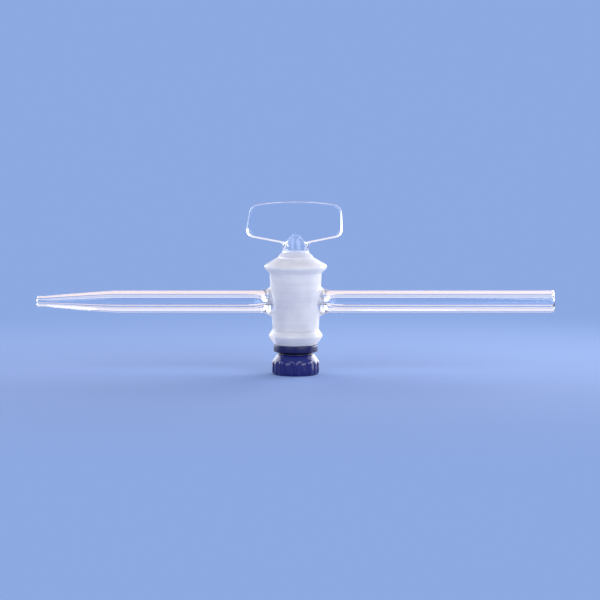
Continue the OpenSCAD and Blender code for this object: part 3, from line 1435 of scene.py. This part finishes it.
@dataclass
class ThrustWasher(Piece):
    """The washer that turns against the barrel's foot."""

    r: float = 7.8
    bore_r: float = 4.08
    low_z: float = 8.1
    thick: float = 2.4
    edge: float = 0.35

    name = "thrust_washer_ring"
    node = "thrust_washer"
    body = "seal_stack"
    slot = "retainer_plastic"

    def shaped(self) -> Block:
        """Turns the washer.

        Returns:
            The washer.
        """
        low, high, edge = self.low_z, self.low_z + self.thick, self.edge
        outline = [
            (self.bore_r, low),
            *Shaper.arc(self.r - edge, low + edge, edge, -90, 0, steps=5),
            *Shaper.arc(self.r - edge, high - edge, edge, 0, 90, steps=5),
            (self.bore_r, high),
        ]
        return self.smoothed(Shaper.block(Shaper.turned(outline, closed=True), self.name), 50)

    def finishes(self) -> list[Finish]:
        """Lists the washer's plastic."""
        body, worn = (0.003, 0.003, 0.064), (0.010, 0.011, 0.10)
        return [MouldedPlastic("washer_plastic", body, worn, roughness=0.26, coat=0.1)]


@dataclass
class RubberRing(Piece):
    """The rubber ring that keeps the key sprung down into its taper."""

    mean_r: float = 5.2
    half: float = 0.95
    mid_z: float = 7.1
    steps: int = 24

    name = "rubber_seal_ring"
    node = "rubber_ring"
    body = "seal_stack"
    slot = "ring_rubber"

    def shaped(self) -> Block:
        """Turns the ring.

        Returns:
            The ring.
        """
        last = 360 - 360 / self.steps
        outline = Shaper.arc(self.mean_r, self.mid_z, self.half, 0, last, self.steps - 1)
        return self.smoothed(Shaper.block(Shaper.turned(outline, closed=True), self.name), 60)

    def finishes(self) -> list[Finish]:
        """Lists the rubber."""
        return [BlackRubber("ring_rubber")]


@dataclass
class RetainingNut(Piece):
    """The ribbed nut that runs on the split collar.

    Attributes:
        rib_share: Where a rib's flank starts, as a share of the way from its middle to the next root.
        rib_flank: How long the flank is, as such a share.
        foot_rings: Rings of the lower end: inset, height and share of the ribs' depth.
        top_rings: Rings of the ribs' upper end: inset, depth under the bevel and the same share.
        bevel_edge: The bevel's rounded upper edge: share of its width, and depth under the top.
    """

    rib_r: float = 8.4
    rib_depth: float = 0.4
    ribs: int = 18
    steps_per_rib: int = 12
    rib_share: float = 0.62
    rib_flank: float = 0.22
    height: float = 7.3
    bevel_h: float = 2.0
    bevel_w: float = 1.5
    bevel_edge: Span = (0.93, 0.12)
    foot_rings: tuple[Point, ...] = (
        (0.35, 0.0, 0.0),
        (0.1, 0.1, 0.0),
        (0.0, 0.35, 0.0),
        (0.0, 0.45, 0.35),
        (0.0, 0.9, 0.9),
        (0.0, 1.3, 1.0),
    )
    top_rings: tuple[Point, ...] = (
        (0.0, 1.3, 1.0),
        (0.0, 0.9, 0.9),
        (0.0, 0.35, 0.3),
        (0.0, 0.25, 0.0),
        (0.08, 0.0, 0.0),
    )
    bore_r: float = 5.08
    well_r: float = 6.23
    well_z: float = 6.1

    name = "ribbed_nut"
    node = "retaining_nut"
    body = "nut"
    slot = "retainer_plastic"

    def rings(self) -> list[Point]:
        """Lists the rings of points, up the side, over the top and down the well and the bore.

        Returns:
            Radius between the ribs, height, and share of the ribs' depth that stands out.
        """
        root_r, bevel_z = self.rib_r - self.rib_depth, self.height - self.bevel_h
        share, under = self.bevel_edge
        return [
            *[(root_r - inset, rise, swell) for inset, rise, swell in self.foot_rings],
            *[(root_r - inset, bevel_z - drop, swell) for inset, drop, swell in self.top_rings],
            (root_r - self.bevel_w * share, self.height - under, 0.0),
            (root_r - self.bevel_w, self.height, 0.0),
            (self.well_r, self.height, 0.0),
            (self.well_r, self.well_z, 0.0),
            (self.bore_r, self.well_z, 0.0),
            (self.bore_r, 0.0, 0.0),
        ]

    def shaped(self) -> Block:
        """Raises the nut ring by ring from a circle, and closes it.

        Returns:
            The nut.
        """
        bm, (first, *rest) = bmesh.new(), self.rings()
        segments = self.steps_per_rib * self.ribs
        loop = bmesh.ops.create_circle(bm, cap_ends=False, radius=1, segments=segments)["verts"]
        edges = list(dict.fromkeys(edge for vert in loop for edge in vert.link_edges))
        self.set_ring(loop, *first)
        for ring in rest:
            new = bmesh.ops.extrude_edge_only(bm, edges=edges)["geom"]
            loop = [g for g in new if isinstance(g, bmesh.types.BMVert)]
            raised = [g for g in new if isinstance(g, bmesh.types.BMEdge)]
            edges = [e for e in raised if all(v in loop for v in e.verts)]
            self.set_ring(loop, *ring)
        bmesh.ops.bridge_loops(bm, edges=[edge for edge in bm.edges if edge.is_boundary])
        bmesh.ops.recalc_face_normals(bm, faces=bm.faces)
        return self.smoothed(Shaper.block(bm, self.name), 35)

    def set_ring(self, loop: Sequence[bmesh.types.BMVert], r: float, z: float, swell: float) -> None:
        """Sets one ring of points.

        Args:
            loop: The ring's points.
            r: Radius between the ribs.
            z: Height.
            swell: Share of the ribs' depth that stands out here.
        """
        for vert in loop:
            angle = math.atan2(vert.co.y, vert.co.x)
            phase = abs(((angle * self.ribs / (2 * math.pi)) % 1.0) - 0.5) * 2
            rise = min(1.0, max(0.0, (self.rib_share - phase) / self.rib_flank))
            rise = rise * rise * (3 - 2 * rise)
            out = r + self.rib_depth * swell * rise
            vert.co = Vector((math.cos(angle) * out, math.sin(angle) * out, z))

    def finishes(self) -> list[Finish]:
        """Lists the nut's plastic."""
        body, worn = (0.006, 0.006, 0.112), (0.018, 0.020, 0.165)
        return [MouldedPlastic("nut_plastic", body, worn, roughness=0.16, coat=0.5)]


# ---------------------------------------------------------------- studio


class Facing(Enum):
    """Where a lamp faces."""

    STOPCOCK = "stopcock"
    CEILING = "ceiling"


@dataclass(frozen=True)
class Softbox:
    """One rectangular lamp, which lights the stopcock but doesn't show itself."""

    name: str
    place: Point
    size: Span
    power: float
    colour: Colour = (1.0, 1.0, 1.0)
    facing: Facing = Facing.STOPCOCK
    through_glass: bool = True
    aim: Point = (0.0, 0.0, 0.03)

    def hung(self) -> None:
        """Makes the lamp and turns it to its aim."""
        lamp = bpy.data.lights.new(self.name, "AREA")
        lamp.shape, lamp.size, lamp.size_y = "RECTANGLE", *self.size
        lamp.energy, lamp.color = self.power, self.colour
        holder = bpy.data.objects.new(self.name, lamp)
        holder.location = self.place
        up = Vector((0, 0, 1))
        away = up if self.facing is Facing.CEILING else Vector(self.aim) - Vector(self.place)
        holder.rotation_euler = away.to_track_quat("-Z", "Y").to_euler()
        holder.visible_camera = False
        holder.visible_transmission = self.through_glass
        bpy.context.scene.collection.objects.link(holder)


@dataclass
class Studio:
    """The pale floor that curves up into a wall all round, the lamps and the camera."""

    paper: Colour = (0.27, 0.40, 0.76)
    floor_r: float = 1.7
    wall_r: float = 2.4
    wall_h: float = 1.6
    sky: Colour = (0.95, 0.97, 1.0)
    sky_level: float = 0.38
    target: Point = (0.00156, 0.0, 0.0264)
    width: float = 0.2124
    elevation: float = 5.0
    lens: float = 200.0
    sensor: float = 36.0
    clip: Span = (0.01, 20.0)

    def build(self) -> None:
        """Builds the whole studio."""
        self.lay_floor()
        for lamp in self.lamps():
            lamp.hung()
        self.set_sky()
        self.set_camera()

    def lay_floor(self) -> None:
        """Turns the floor and the wall, with their faces up and inwards."""
        bend = self.wall_r - self.floor_r
        curve = Shaper.arc(self.floor_r, bend, bend, -90, 0, steps=24)[1:]
        bowl = Shaper.turned([(0.0, 0.0), (self.floor_r, 0.0), *curve, (self.wall_r, self.wall_h)])
        bowl.faces.ensure_lookup_table()
        if bowl.faces[0].normal.z < 0:
            bmesh.ops.reverse_faces(bowl, faces=bowl.faces)
        floor = Shaper.block(bowl, "studio_paper")
        floor.data.materials.append(StudioPaper("studio_paper", self.paper).made())
        floor.data.shade_smooth()

    @staticmethod
    def lamps() -> list[Softbox]:
        """Lists the lamps.

        Returns:
            The softboxes and panels round the stopcock, and the strips that lie on the floor.
        """
        warm, amber = (1.0, 0.74, 0.38), (1.0, 0.64, 0.20)
        cream, cool = (1.0, 0.84, 0.6), (0.88, 0.93, 1.0)
        up = Facing.CEILING
        return [
            Softbox("back_softbox", (0.0, 0.42, 0.28), (0.90, 0.22), 0.42, warm),
            Softbox("top_softbox", (0.0, 0.20, 0.42), (0.50, 0.10), 0.105, warm),
            Softbox("left_panel", (-0.33, 0.26, 0.13), (0.56, 0.26), 1.3),
            Softbox("right_panel", (0.33, 0.26, 0.13), (0.56, 0.26), 2.6),
            Softbox("arm_strip", (0.0, 0.030, 0.0006), (0.23, 0.026), 0.0150, amber, up),
            Softbox("grip_strip", (0.0, 0.052, 0.0006), (0.036, 0.018), 0.0016, warm, up),
            Softbox("side_strip", (0.1275, 0.14, 0.0006), (0.045, 0.20), 0.025, cream, up),
            Softbox("nut_strip", (0.040, 0.0, 0.0006), (0.036, 0.012), 0.0036, cool, up, False),
            Softbox("front_right_softbox", (0.55, -0.85, 0.42), (0.80, 0.75), 7.1),
            Softbox("front_left_softbox", (-0.55, -0.85, 0.42), (0.60, 0.75), 4.0),
        ]

    def set_sky(self) -> None:
        """Gives the world its even light, and the paper's colour where it shows."""
        board = NodeBoard(bpy.data.worlds.new("sky"))
        kind = "ShaderNodeBackground"
        light = board.surface(kind, {"Color": self.sky, "Strength": self.sky_level})
        shown = board.surface(kind, {"Color": self.paper, "Strength": 1.0})
        sky = board.blended(board.seen(), light, shown)
        bpy.context.scene.world = board.finish(sky, "ShaderNodeOutputWorld")

    def set_camera(self) -> None:
        """Sets the long lens straight in front, a little above."""
        data = bpy.data.cameras.new("camera")
        data.lens, data.sensor_width = self.lens, self.sensor
        data.clip_start, data.clip_end = self.clip
        camera = bpy.data.objects.new("camera", data)
        away = self.width * self.lens / self.sensor
        tilt = math.radians(self.elevation)
        back = Vector((0, -math.cos(tilt), math.sin(tilt)))
        camera.location = Vector(self.target) + back * away
        camera.rotation_euler = (-back).to_track_quat("-Z", "Y").to_euler()
        bpy.context.scene.collection.objects.link(camera)
        bpy.context.scene.camera = camera


def main() -> None:
    """Builds the pieces in order, then the studio."""
    logging.basicConfig(level=logging.INFO, format="%(name)s: %(message)s")
    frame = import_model()
    layout = Layout.from_frame(frame)
    pieces = [
        GlassBarrel(layout),
        GlassKey(layout),
        SplitCollar(),
        ThrustWasher(),
        RubberRing(),
        RetainingNut(),
    ]
    for piece in pieces:
        piece.placed()
    Studio().build()
    bpy.context.scene.view_settings.view_transform = "Standard"


if __name__ == "__main__":
    main()
